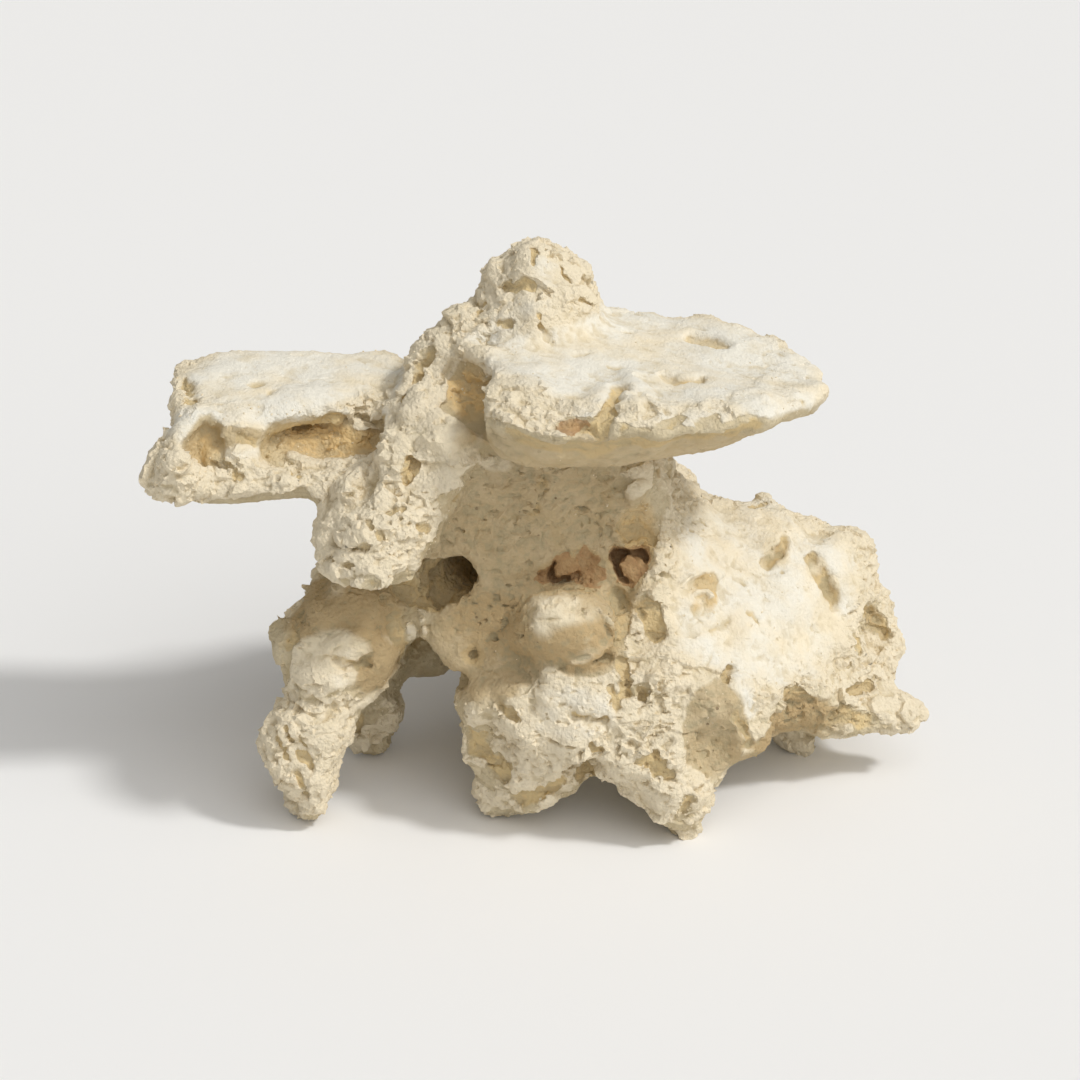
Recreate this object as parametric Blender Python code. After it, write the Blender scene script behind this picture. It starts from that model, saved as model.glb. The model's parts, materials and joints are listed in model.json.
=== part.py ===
# Dry reef rock: one pale, porous piece of reef limestone, as sold for a marine aquarium.
# It stands on six feet. A thick shelf juts out to the right at the top, a split shelf to the left,
# and a broad slab slopes down to a short tongue at the lower right.
#
# The frame: +X right, +Y to the back, +Z up. The origin is on the ground below the rock's middle.
# Every place below is in millimetres at the real size, which ROCK_WIDTH sets for the whole rock.

import math

import bmesh
import bpy
from mathutils import Matrix, Vector, noise

ROCK_WIDTH = 0.354  # metres, from the left shelf's end to the tongue's tip
DRAWN_WIDTH = 354.0  # the same distance in the millimetres used below
UNIT = ROCK_WIDTH / DRAWN_WIDTH

VOXEL = 2.4  # grain of the fused body before it is thinned
SOFT_ROUNDS = 4  # rounds of smoothing that blend the masses
CLEAN_ROUNDS = 1  # the same after the weathering, which is to stay crisp
FACES = 9600  # triangles that the thinning leaves; the cut at the ground adds a few
RIM_STEPS = 4  # points between two given points of a rim
RINGS = 7  # rings from a rim to a tip
LUMP_DETAIL = 3  # subdivisions of the ball that a lump is made from
BALLS_A_RADIUS = 3  # balls of a limb in each length of its radius
GROUND = 0.0

COARSE_WAVE = 34.0  # size of the broad swells
COARSE_LIFT = 2.6
KNOB_WAVE = 12.0  # size of the small knobs
KNOB_LIFT = 2.2
RUBBLE_WAVE = 21.0  # size of the lumps that creases part
CREASE_DEPTH = 5.0
CREASE_WIDTH = 0.35  # of a lump's size
KNOB_PLACE = Vector((5, 3, 1))  # where the knobs' noise is taken, so that they don't follow the swells
WORN = 0.75  # how much of the small relief is worn off in the smooth places
SWELL = 0.4  # added all over, to make up for the creases
CALM_FULL = 0.7  # of a smooth place's radii: all calm inside this
CALM_END = 1.2  # and no calm beyond this

# places that the sea has worn smooth: (centre, radii)
SMOOTH_PLACES = (
    ((46, -24, 204), (74, 60, 12)),
    ((30, -50, 176), (80, 50, 10)),
    ((-108, 4, 188), (56, 40, 10)),
    ((10, -74, 98), (24, 14, 20)),
    ((-120, -20, 144), (44, 40, 8)),
)

STONE_COLOUR = (0.78, 0.70, 0.54, 1.0)
STONE_ROUGHNESS = 0.92


def smooth_loop(points, steps):
    """A closed Catmull-Rom curve through the points."""
    loop = []
    count = len(points)
    for i in range(count):
        before, start, end, after = (Vector(points[(i + k) % count]) for k in (-1, 0, 1, 2))
        for step in range(steps):
            t = step / steps
            loop.append(
                0.5
                * (
                    2 * start
                    + (end - before) * t
                    + (2 * before - 5 * start + 4 * end - after) * t**2
                    + (3 * start - before - 3 * end + after) * t**3
                )
            )
    return loop


def boulder(bm, rim, tips, fullness=2.6):
    """A closed rounded mass: its widest outline is the rim, and it swells to a tip on either side.
    A fullness of 2 gives an ellipsoid's sides, and a higher one gives squarer sides and flatter faces."""
    loop = smooth_loop(rim, RIM_STEPS)
    centre = sum(loop, Vector()) / len(loop)
    equator = [bm.verts.new(p) for p in loop]
    faces = []
    for tip in tips:
        ring = equator
        for k in range(1, RINGS):
            angle = math.pi / 2 * k / RINGS
            shrink = math.cos(angle) ** (2 / fullness)
            rise = math.sin(angle) ** (2 / fullness)
            middle = centre + (Vector(tip) - centre) * rise
            inner = [bm.verts.new(middle + (p - centre) * shrink) for p in loop]
            faces += [
                bm.faces.new((ring[i - 1], ring[i], inner[i], inner[i - 1])) for i in range(len(loop))
            ]
            ring = inner
        top = bm.verts.new(tip)
        faces += [bm.faces.new((ring[i - 1], ring[i], top)) for i in range(len(loop))]
    bmesh.ops.recalc_face_normals(bm, faces=faces)


def lump(bm, centre, radii, turn=0.0):
    """An ellipsoid, turned about Z by so many degrees."""
    place = Matrix.Translation(centre) @ Matrix.Rotation(math.radians(turn), 4, "Z")
    shape = place @ Matrix.Diagonal((*radii, 1.0))
    bmesh.ops.create_icosphere(bm, subdivisions=LUMP_DETAIL, radius=1.0, matrix=shape)


def limb(bm, stations):
    """A tapering limb: balls that overlap along straight runs between stations of (x, y, z, radius)."""
    for start, end in zip(stations, stations[1:]):
        start, end = Vector(start), Vector(end)
        length = (end.xyz - start.xyz).length
        balls = max(2, round(BALLS_A_RADIUS * length / min(start.w, end.w)))
        for i in range(balls + 1):
            here = start.lerp(end, i / balls)
            lump(bm, here.xyz, (here.w,) * 3)


def right_shelf(bm):
    """The shelf at the upper right: a flat plate on a narrower, rounded underside."""
    boulder(
        bm,
        rim=[
            (-19, -70, 204), (-13, -84, 201), (-2, -92, 197), (9, -95, 194), (19, -93, 197),
            (25, -85, 200), (34, -92, 199), (52, -92, 197), (68, -89, 196), (84, -82, 196),
            (101, -71, 196), (115, -58, 194), (126, -40, 191), (130, -26, 193), (129, -8, 197),
            (119, 6, 198), (105, 17, 199), (90, 24, 200), (73, 33, 202), (54, 38, 205),
            (32, 36, 207), (-10, 20, 206), (-22, -20, 204), (-21, -50, 204),
        ],
        tips=[(44, -26, 204), (40, -30, 183)],
        fullness=5.0,
    )
    boulder(
        bm,
        rim=[
            (-23, -68, 198), (-14, -80, 190), (4, -85, 186), (28, -83, 186), (52, -78, 187),
            (74, -70, 188), (96, -60, 190), (112, -44, 191), (104, -14, 192), (60, 24, 192),
            (0, 20, 192), (-22, -14, 196), (-25, -44, 198),
        ],
        tips=[(24, -30, 198), (20, -30, 168)],
        fullness=3.0,
    )
    lump(bm, (113, -26, 192), (14, 22, 7))


def pinnacle(bm):
    """The peak behind the right shelf, and the rough ground in front of it."""
    boulder(
        bm,
        rim=[
            (-4, 18, 249), (4, 19, 247), (15, 20, 242), (25, 21, 234), (26, 20, 223), (30, 16, 206),
            (36, 14, 196), (0, 4, 186), (-46, 2, 190), (-52, 0, 202), (-41, 8, 213), (-31, 14, 221),
            (-26, 17, 233), (-22, 18, 238), (-13, 18, 242),
        ],
        tips=[(-6, -18, 206), (-4, 42, 208)],
        fullness=2.6,
    )
    lump(bm, (-25, -15, 204), (15, 14, 11))
    lump(bm, (-30, -34, 178), (16, 18, 14))


def ridge(bm):
    """The rough slope from the pinnacle down to the left, which ends in two bright lobes."""
    boulder(
        bm,
        rim=[
            (-34, 6, 220), (-47, 2, 210), (-59, -4, 198), (-66, -14, 178), (-62, -20, 150),
            (-40, -24, 140), (-8, -20, 150), (2, -14, 176), (-10, -2, 206),
        ],
        tips=[(-44, -28, 180), (-28, 44, 172)],
        fullness=2.6,
    )
    boulder(
        bm,
        rim=[
            (-60, -12, 197), (-48, -18, 199), (-36, -28, 190), (-27, -38, 174), (-26, -46, 154),
            (-38, -50, 140), (-60, -54, 140), (-73, -46, 152), (-79, -40, 165), (-72, -26, 181),
        ],
        tips=[(-49, -64, 168), (-38, 0, 164)],
        fullness=2.5,
    )
    boulder(
        bm,
        rim=[
            (-95, -50, 146), (-101, -56, 138), (-100, -60, 129), (-97, -64, 120), (-84, -68, 116),
            (-71, -66, 116), (-59, -60, 118), (-46, -50, 130), (-42, -48, 148), (-60, -50, 158),
            (-80, -52, 158),
        ],
        tips=[(-70, -90, 138), (-62, -18, 142)],
        fullness=2.8,
    )


def left_shelf(bm):
    """Two plates, one above the other, joined at their backs, by a pillar and by a stub at the end."""
    boulder(
        bm,
        rim=[
            (-154, -38, 177), (-144, -43, 176), (-125, -40, 177), (-115, -33, 178), (-94, -27, 180),
            (-75, -24, 176), (-58, -8, 176), (-46, 30, 180), (-64, 34, 183), (-91, 36, 184),
            (-119, 36, 183), (-147, 36, 182), (-158, 34, 181), (-165, 25, 180), (-166, 4, 180),
            (-161, -20, 177),
        ],
        tips=[(-122, 6, 186), (-120, 6, 166)],
        fullness=5.0,
    )
    boulder(
        bm,
        rim=[
            (-172, -34, 154), (-165, -50, 152), (-144, -57, 152), (-117, -54, 154), (-92, -48, 154),
            (-62, -36, 152), (-58, 20, 154), (-100, 34, 154), (-145, 24, 154), (-168, 0, 154),
        ],
        tips=[(-112, -14, 163), (-116, -6, 141)],
        fullness=3.6,
    )
    boulder(
        bm,
        rim=[
            (-158, -38, 178), (-150, -42, 172), (-148, -46, 156), (-152, -50, 144), (-164, -46, 144),
            (-174, -39, 150), (-174, -38, 161), (-166, -38, 170),
        ],
        tips=[(-160, -58, 160), (-156, -18, 162)],
    )
    limb(bm, [(-129, -30, 176, 9), (-128, -42, 158, 10)])
    lump(bm, (-104, 22, 168), (56, 14, 14))


def trunk(bm):
    """The body under the shelves, thin-edged at its lower left, with a round boss low on its front."""
    boulder(
        bm,
        rim=[
            (-40, -14, 172), (24, -14, 176), (54, -8, 150), (58, -8, 118), (46, -16, 80),
            (10, -22, 52), (-30, -28, 62), (-42, -30, 76), (-50, -28, 98), (-46, -20, 130),
        ],
        tips=[(0, -54, 128), (2, 56, 118)],
        fullness=3.6,
    )
    boulder(
        bm,
        rim=[
            (-55, -50, 102), (-52, -54, 89), (-46, -57, 76), (-34, -62, 70), (-10, -64, 68),
            (24, -62, 78), (48, -50, 96), (44, -40, 112), (8, -42, 118), (-36, -46, 122),
        ],
        tips=[(-6, -62, 94), (-2, -20, 94)],
        fullness=3.0,
    )
    lump(bm, (10, -64, 98), (24, 19, 19))
    lump(bm, (28, -66, 88), (11, 10, 9))
    lump(bm, (48, -54, 92), (14, 14, 18))
    lump(bm, (42, -38, 152), (8, 8, 11))


def front_foot(bm):
    """The broad mass below the boss, with two feet and an arch between them."""
    boulder(
        bm,
        rim=[
            (-44, -58, 53), (-42, -60, 45), (-36, -62, 32), (-29, -62, 20), (-28, -62, 8),
            (-20, -61, -5), (-6, -62, -4), (4, -66, 4), (14, -70, 12), (27, -74, 25), (38, -75, 18),
            (49, -77, 9), (57, -78, -2), (69, -78, -2), (77, -76, 10), (84, -73, 23), (92, -69, 34),
            (98, -60, 52), (82, -54, 70), (50, -56, 80), (10, -60, 76), (-20, -58, 69), (-38, -58, 60),
        ],
        tips=[(24, -92, 50), (26, -14, 58)],
        fullness=2.6,
    )
    limb(bm, [(-4, -70, 34, 15), (-18, -62, 6, 10)])
    limb(bm, [(54, -80, 34, 15), (63, -79, 6, 8)])


def right_slab(bm):
    """The broad slab that slopes down to the front, and the tongue at its lower right corner."""
    boulder(
        bm,
        rim=[
            (34, 0, 152), (56, 18, 141), (74, 24, 127), (93, 28, 119), (107, 31, 119), (121, 31, 111),
            (136, 34, 106), (148, 34, 104), (157, 32, 91), (161, 30, 76), (168, 27, 63), (173, 20, 48),
            (172, 12, 38), (160, 2, 32), (134, -26, 34), (112, -50, 38), (96, -64, 36), (74, -72, 52),
            (50, -56, 84), (38, -40, 112), (36, -28, 140),
        ],
        tips=[(104, -36, 90), (98, 12, 54)],
        fullness=3.0,
    )
    lump(bm, (107, 28, 113), (10, 10, 9))
    limb(bm, [(110, -34, 44, 17), (134, -28, 34, 14.5), (156, -22, 31, 12), (169, -20, 31, 11.5)])


def back_of_rock(bm):
    """The side that faces away: a broad wall with a ledge at its top and another near its foot."""
    boulder(
        bm,
        rim=[
            (-48, 40, 60), (-54, 38, 104), (-44, 40, 150), (-12, 44, 176), (20, 42, 174),
            (42, 38, 150), (74, 34, 112), (92, 36, 76), (64, 46, 46), (4, 50, 40), (-34, 46, 44),
        ],
        tips=[(10, 64, 104), (10, 0, 104)],
        fullness=3.4,
    )
    boulder(
        bm,
        rim=[
            (-52, 42, 60), (-28, 74, 57), (6, 88, 54), (32, 80, 58), (60, 84, 58), (82, 70, 62),
            (98, 44, 62), (70, 10, 62), (0, 0, 60), (-44, 14, 60),
        ],
        tips=[(22, 44, 78), (22, 44, 40)],
        fullness=3.0,
    )
    boulder(
        bm,
        rim=[
            (-50, 34, 158), (-32, 64, 162), (-8, 76, 160), (14, 68, 156), (34, 60, 158), (46, 34, 158),
            (34, 6, 160), (-30, 6, 160),
        ],
        tips=[(0, 36, 176), (0, 36, 146)],
        fullness=3.4,
    )
    lump(bm, (60, 62, 98), (20, 14, 26), 20)
    lump(bm, (-34, 54, 118), (18, 14, 22), -30)


def left_leg(bm):
    """The bent leg under the shoulder, and its pointed foot."""
    boulder(
        bm,
        rim=[
            (-99, -36, 108), (-108, -38, 100), (-115, -40, 91), (-122, -42, 85), (-124, -44, 78),
            (-120, -47, 70), (-116, -50, 62), (-112, -54, 52), (-98, -54, 47), (-84, -50, 50),
            (-73, -44, 54), (-64, -38, 62), (-58, -32, 74), (-54, -28, 88), (-60, -30, 106), (-84, -34, 114),
        ],
        tips=[(-86, -66, 84), (-78, -4, 86)],
    )
    lump(bm, (-58, -28, 104), (15, 16, 14))
    boulder(
        bm,
        rim=[
            (-111, -58, 55), (-122, -60, 51), (-129, -60, 43), (-128, -61, 33), (-123, -62, 21),
            (-118, -62, 10), (-111, -62, -1), (-104, -62, -6), (-97, -62, 1), (-91, -62, 16),
            (-86, -60, 29), (-80, -58, 42), (-86, -56, 54), (-100, -56, 58),
        ],
        tips=[(-102, -82, 38), (-98, -44, 38)],
        fullness=2.4,
    )


def back_feet(bm):
    """Three feet at the back: left, right and middle."""
    boulder(
        bm,
        rim=[
            (-60, 4, 58), (-65, 2, 34), (-65, 0, 16), (-70, -1, 2), (-78, -2, -5), (-88, -2, -3),
            (-92, 0, 16), (-95, 4, 48), (-84, 8, 78),
        ],
        tips=[(-78, -16, 24), (-78, 24, 40)],
    )
    limb(bm, [(-20, 26, 64, 24), (-52, 22, 40, 14), (-74, 12, 44, 14)])
    boulder(
        bm,
        rim=[
            (88, 14, 62), (102, 8, 24), (110, 3, 0), (119, 2, -6), (129, 3, 0), (136, 8, 26), (144, 14, 58),
        ],
        tips=[(121, -10, 26), (118, 26, 36)],
    )
    boulder(
        bm,
        rim=[
            (-18, 58, 58), (-8, 62, 26), (0, 64, 3), (8, 64, -5), (22, 64, -5), (30, 63, 5),
            (36, 62, 26), (56, 58, 56),
        ],
        tips=[(14, 82, 28), (16, 38, 34)],
    )


def masses(bm):
    for build in (
        right_shelf, pinnacle, ridge, left_shelf, trunk, front_foot, right_slab, back_of_rock,
        left_leg, back_feet,
    ):
        build(bm)


def hollows(bm):
    """What is bored or broken out of the rock."""
    # between the ridge and the right shelf, and the pits above it
    lump(bm, (-28, -44, 193), (13, 20, 16))
    # the gully and the scoops of the right shelf's rim
    lump(bm, (27, -99, 201), (5, 14, 10))
    lump(bm, (44, -102, 190), (9, 12, 6))
    lump(bm, (70, -98, 189), (10, 12, 5))
    lump(bm, (94, -84, 188), (10, 10, 5))
    lump(bm, (-2, -98, 190), (14, 8, 5))
    lump(bm, (-11, -10, 232), (8, 10, 5))
    lump(bm, (-22, -16, 212), (9, 9, 6))
    # the broken corner and the small hole of the ridge
    lump(bm, (-78, -64, 166), (10, 14, 13))
    limb(bm, [(-55, -68, 166, 4.5), (-55, -48, 162, 5)])
    # the slot and the small recess between the two left plates
    boulder(
        bm,
        rim=[
            (-117, -66, 169), (-94, -64, 169), (-70, -58, 171), (-68, -20, 172), (-92, -12, 172),
            (-116, -18, 170),
        ],
        tips=[(-93, -38, 177), (-93, -38, 163)],
        fullness=5.0,
    )
    boulder(
        bm,
        rim=[(-151, -66, 170), (-139, -66, 170), (-139, -31, 171), (-151, -31, 171)],
        tips=[(-145, -48, 178), (-145, -48, 162)],
        fullness=5.0,
    )
    # the holes in the trunk: the deep one at the left and two above the boss
    limb(bm, [(-50, -66, 106, 8), (-40, -54, 112, 12), (-24, -20, 108, 12)])
    limb(bm, [(-2, -58, 112, 5), (9, -56, 119, 6.5), (20, -54, 123, 6), (28, -54, 115, 5.5)])
    limb(bm, [(10, -56, 119, 7), (13, -38, 113, 8)])
    limb(bm, [(40, -60, 121, 7), (42, -36, 113, 8)])
    lump(bm, (43, -46, 136), (9, 9, 8))
    # the slab's pits and gouges
    limb(bm, [(70, -62, 109, 9), (73, -42, 98, 8)])
    limb(bm, [(98, -20, 112, 5), (107, -18, 112, 7), (114, -8, 112, 4)])
    limb(bm, [(121, -20, 108, 4), (126, -20, 98, 6), (130, -24, 88, 5)])
    lump(bm, (158, -6, 62), (9, 12, 13))
    # under the tongue
    lump(bm, (115, -60, 44), (12, 11, 11))
    lump(bm, (139, -46, 29), (12, 9, 9))
    # the front mass
    lump(bm, (21, -92, 34), (11, 15, 10))
    lump(bm, (-23, -88, 44), (15, 16, 16))
    lump(bm, (78, -104, 50), (17, 26, 26))
    lump(bm, (-12, -84, 84), (9, 12, 7))
    # the back
    lump(bm, (4, 72, 112), (22, 22, 17))
    lump(bm, (30, 70, 138), (14, 22, 9))
    limb(bm, [(26, 78, 84, 7), (38, 74, 96, 9), (46, 72, 112, 6)])
    lump(bm, (-58, 50, 84), (13, 16, 12))
    lump(bm, (104, 44, 96), (16, 14, 13))
    lump(bm, (-10, 96, 66), (14, 12, 9))


def mesh_object(name, fill):
    bm = bmesh.new()
    fill(bm)
    bmesh.ops.scale(bm, vec=(UNIT,) * 3, verts=bm.verts)
    mesh = bpy.data.meshes.new(name)
    bm.to_mesh(mesh)
    bm.free()
    made = bpy.data.objects.new(name, mesh)
    bpy.context.scene.collection.objects.link(made)
    return made


def fuse(target, rounds):
    """Makes one skin of the overlapping masses, and softens it by so many rounds."""
    remesh = target.modifiers.new("fuse", "REMESH")
    remesh.mode = "VOXEL"
    remesh.voxel_size = VOXEL * UNIT
    remesh.adaptivity = 0.0
    soften = target.modifiers.new("soften", "SMOOTH")
    soften.factor = 0.5
    soften.iterations = rounds
    settle(target)


def keep_outer_skin(target):
    """Fills what is sealed inside: only the largest of the mesh's surfaces stays."""
    bm = bmesh.new()
    bm.from_mesh(target.data)
    left = set(bm.verts)
    skins = []
    while left:
        skin = set()
        edge = [left.pop()]
        while edge:
            vertex = edge.pop()
            skin.add(vertex)
            found = {e.other_vert(vertex) for e in vertex.link_edges} & left
            left -= found
            edge += found
        skins.append(skin)
    skins.sort(key=len)
    for skin in skins[:-1]:
        bmesh.ops.delete(bm, geom=list(skin), context="VERTS")
    bm.to_mesh(target.data)
    bm.free()


def settle(target):
    """Gives the object the mesh that its modifiers make, and drops them."""
    graph = bpy.context.evaluated_depsgraph_get()
    mesh = bpy.data.meshes.new_from_object(target.evaluated_get(graph))
    target.modifiers.clear()
    old = target.data
    target.data = mesh
    bpy.data.meshes.remove(old)


def calm(here):
    """1 in the middle of a smooth place, and 0 outside them all."""
    most = 0.0
    for centre, radii in SMOOTH_PLACES:
        away = math.sqrt(sum(((h - c) / r) ** 2 for h, c, r in zip(here, centre, radii)))
        most = max(most, min(1.0, (CALM_END - away) / (CALM_END - CALM_FULL)))
    return most


def weather(target):
    """Swells, knobs and creased lumps that the sea leaves all over the rock."""
    mesh = target.data
    normals = [v.normal.copy() for v in mesh.vertices]
    for vertex, normal in zip(mesh.vertices, normals):
        here = vertex.co / UNIT
        near, next_near = noise.voronoi(here / RUBBLE_WAVE)[0][:2]
        crease = max(0.0, 1.0 - (next_near - near) / CREASE_WIDTH)
        rough = KNOB_LIFT * noise.noise(here / KNOB_WAVE + KNOB_PLACE) - CREASE_DEPTH * crease
        lift = COARSE_LIFT * noise.noise(here / COARSE_WAVE) + SWELL
        vertex.co += normal * ((lift + rough * (1.0 - WORN * calm(here))) * UNIT)


def thin(target):
    decimate = target.modifiers.new("thin", "DECIMATE")
    mesh = target.data
    mesh.calc_loop_triangles()
    decimate.ratio = FACES / len(mesh.loop_triangles)
    settle(target)


def stand_on_ground(target):
    """Cuts the tips of the feet off flat at the ground."""
    bm = bmesh.new()
    bm.from_mesh(target.data)
    cut = bmesh.ops.bisect_plane(
        bm,
        geom=bm.verts[:] + bm.edges[:] + bm.faces[:],
        plane_co=(0, 0, GROUND),
        plane_no=(0, 0, 1),
        clear_inner=True,
    )
    rims = [e for e in cut["geom_cut"] if isinstance(e, bmesh.types.BMEdge)]
    bmesh.ops.holes_fill(bm, edges=rims)
    bmesh.ops.triangulate(bm, faces=bm.faces[:])
    bm.to_mesh(target.data)
    bm.free()


def centre_on_origin(target):
    xs = [v.co.x for v in target.data.vertices]
    ys = [v.co.y for v in target.data.vertices]
    middle = Vector((min(xs) + max(xs), min(ys) + max(ys), 0)) / 2
    target.data.transform(Matrix.Translation(-middle))


def limestone():
    material = bpy.data.materials.new("reef_limestone")
    material.use_nodes = True
    shader = material.node_tree.nodes["Principled BSDF"]
    shader.inputs["Base Color"].default_value = STONE_COLOUR
    shader.inputs["Roughness"].default_value = STONE_ROUGHNESS
    shader.inputs["Metallic"].default_value = 0.0
    return material


def carve(target):
    cutter = mesh_object("hollows", hollows)
    cutter.hide_render = True
    cutter.display_type = "WIRE"
    fuse(cutter, SOFT_ROUNDS)
    cut = target.modifiers.new("carve", "BOOLEAN")
    cut.operation = "DIFFERENCE"
    cut.object = cutter
    settle(target)
    bpy.data.objects.remove(cutter)


def main():
    for old in list(bpy.data.objects):
        bpy.data.objects.remove(old)
    rock = mesh_object("reef_rock", masses)
    fuse(rock, SOFT_ROUNDS)
    carve(rock)
    weather(rock)
    fuse(rock, CLEAN_ROUNDS)
    keep_outer_skin(rock)
    thin(rock)
    stand_on_ground(rock)
    centre_on_origin(rock)
    rock.data.materials.clear()
    rock.data.materials.append(limestone())


main()
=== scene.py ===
import bpy
import bmesh
import json
import math
import numpy as np
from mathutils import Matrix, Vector, noise
from mathutils.bvhtree import BVHTree
from mathutils.kdtree import KDTree

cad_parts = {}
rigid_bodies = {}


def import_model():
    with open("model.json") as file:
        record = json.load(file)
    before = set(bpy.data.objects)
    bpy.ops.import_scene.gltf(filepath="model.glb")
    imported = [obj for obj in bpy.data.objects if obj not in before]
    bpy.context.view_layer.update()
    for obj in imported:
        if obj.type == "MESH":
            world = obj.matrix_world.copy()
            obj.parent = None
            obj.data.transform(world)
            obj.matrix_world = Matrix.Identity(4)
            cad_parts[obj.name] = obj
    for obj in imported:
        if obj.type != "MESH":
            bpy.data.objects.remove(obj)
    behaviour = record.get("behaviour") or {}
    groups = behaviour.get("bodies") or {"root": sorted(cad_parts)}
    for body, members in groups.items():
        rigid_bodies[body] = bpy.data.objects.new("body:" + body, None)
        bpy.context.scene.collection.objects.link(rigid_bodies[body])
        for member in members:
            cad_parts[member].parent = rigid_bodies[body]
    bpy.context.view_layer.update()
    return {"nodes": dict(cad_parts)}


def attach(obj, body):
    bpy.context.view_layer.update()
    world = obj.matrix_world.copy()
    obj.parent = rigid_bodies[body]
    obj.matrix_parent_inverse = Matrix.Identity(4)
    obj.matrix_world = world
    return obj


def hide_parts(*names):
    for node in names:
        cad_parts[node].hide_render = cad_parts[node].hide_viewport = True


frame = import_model()
cadRock = frame["nodes"]["reef_rock"]
scene = bpy.context.scene
mm = 0.001
noise.seed_set(7)  # drift() would be different on each run without it

# the camera, turned and raised as in the picture, which is 1080 pixels square
look = {
    "aim": (-3.5, 4.2, 108.0),  # mm
    "away": 1100.0,  # mm
    "raised": 24.0,  # degrees above level
    "lens": 80.4,
    "sensor": 36.0,
    "picture": 1080.0,
}
raised = math.radians(look["raised"])
backward = Vector((0, -math.cos(raised), math.sin(raised)))
eye = Vector(look["aim"]) + backward * look["away"]  # mm
camera = bpy.data.objects.new("camera", bpy.data.cameras.new("camera"))
scene.collection.objects.link(camera)
scene.camera = camera
camera.data.lens = look["lens"]
camera.data.sensor_width = look["sensor"]
camera.location = eye * mm
camera.rotation_mode = "QUATERNION"
camera.rotation_quaternion = (-backward).to_track_quat("-Z", "Y")
sightRight = Vector((1, 0, 0))
sightUp = Vector((0, math.sin(raised), math.cos(raised)))


def sightLine(px, py):
    half = look["picture"] / 2
    focal = look["lens"] / look["sensor"] * look["picture"]
    return (-backward * focal + sightRight * (px - half) - sightUp * (py - half)).normalized()


def newObject(name, mesh):
    made = bpy.data.objects.new(name, mesh)
    scene.collection.objects.link(made)
    return made


def applyModifiers(target):
    shown = target.evaluated_get(bpy.context.evaluated_depsgraph_get())
    mesh = bpy.data.meshes.new_from_object(shown)
    old = target.data
    target.modifiers.clear()
    target.data = mesh
    bpy.data.meshes.remove(old)


def reskin(target, grain, rounds):
    remesh = target.modifiers.new("skin", "REMESH")
    remesh.mode = "VOXEL"
    remesh.voxel_size = grain * mm
    soften = target.modifiers.new("soften", "SMOOTH")
    soften.factor = 0.5
    soften.iterations = rounds
    applyModifiers(target)


def readPoints(mesh):
    flat = np.empty(len(mesh.vertices) * 3)
    mesh.vertices.foreach_get("co", flat)
    return flat.reshape(-1, 3) / mm


def readNormals(mesh):
    flat = np.empty(len(mesh.vertices) * 3)
    mesh.vertices.foreach_get("normal", flat)
    return flat.reshape(-1, 3)


def putPoints(mesh, points):
    mesh.vertices.foreach_set("co", (points * mm).ravel())
    mesh.update()


def searchTree(mesh):
    points = [v.co / mm for v in mesh.vertices]
    return BVHTree.FromPolygons(points, [tuple(p.vertices) for p in mesh.polygons])


def ramp(values, low, high):  # 0 at low, 1 at high, eased
    t = np.clip((values - low) / (high - low), 0.0, 1.0)
    return t * t * (3 - 2 * t)


def swell(points, size, place):  # smooth noise from about -1 to 1; place only picks a part of it
    return np.array([noise.noise(p) for p in (points / size + place).tolist()])


def rough(points, size, place):  # four sizes of noise in one
    return sum(swell(points, size / 2 ** k, place + 9 * k) * 0.6 ** k for k in range(4))


def drift(points, size, place):  # a noise of vectors, to make straight things ragged
    return np.array([noise.noise_vector(p) for p in (points / size + place).tolist()])


def flakes(points, size, place, tilt):  # broken facets: each cell has its own height and tilt
    creaseWidth, creaseDepth = 0.25, 0.08  # of a cell
    heights = []
    for p in (points / size + place).tolist():
        away, spots = noise.voronoi(p)
        middle = spots[0]
        turn = noise.cell_vector(middle * 53.0) * 2 - Vector((1, 1, 1))  # the factors only pick other cells
        own = noise.cell_vector(middle * 91.0)[0] - 0.5
        crease = min((away[1] - away[0]) / creaseWidth, 1.0)
        heights.append(own + tilt * turn.dot(Vector(p) - middle) + creaseDepth * crease)
    return np.array(heights)


# the rock's body: a skin over the CAD solid, with the holes cut to the shapes that the picture shows
rockBody = {
    "softGrain": 2.0,  # mm
    "softRounds": 7,
    "fineGrain": 0.95,
    "cutGrain": 1.3,  # times the fine grain, after each cut
    "triangles": 197000,
    "sharp": 38.0,  # degrees
}

body = newObject("reefRockBody", cadRock.data.copy())
welded = bmesh.new()
welded.from_mesh(body.data)
bmesh.ops.remove_doubles(welded, verts=welded.verts, dist=1e-6)
welded.to_mesh(body.data)
welded.free()
reskin(body, rockBody["softGrain"], rockBody["softRounds"])
softTree = searchTree(body.data)
print("body: first skin,", len(body.data.polygons), "faces")


def seen(px, py):  # the spot of the rock under this pixel of the picture, and its normal
    hit, normal, _, _ = softTree.ray_cast(eye, sightLine(px, py))
    if hit is None:
        hit, normal, _, _ = softTree.find_nearest(eye + sightLine(px, py) * look["away"])
    return hit, normal


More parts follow.
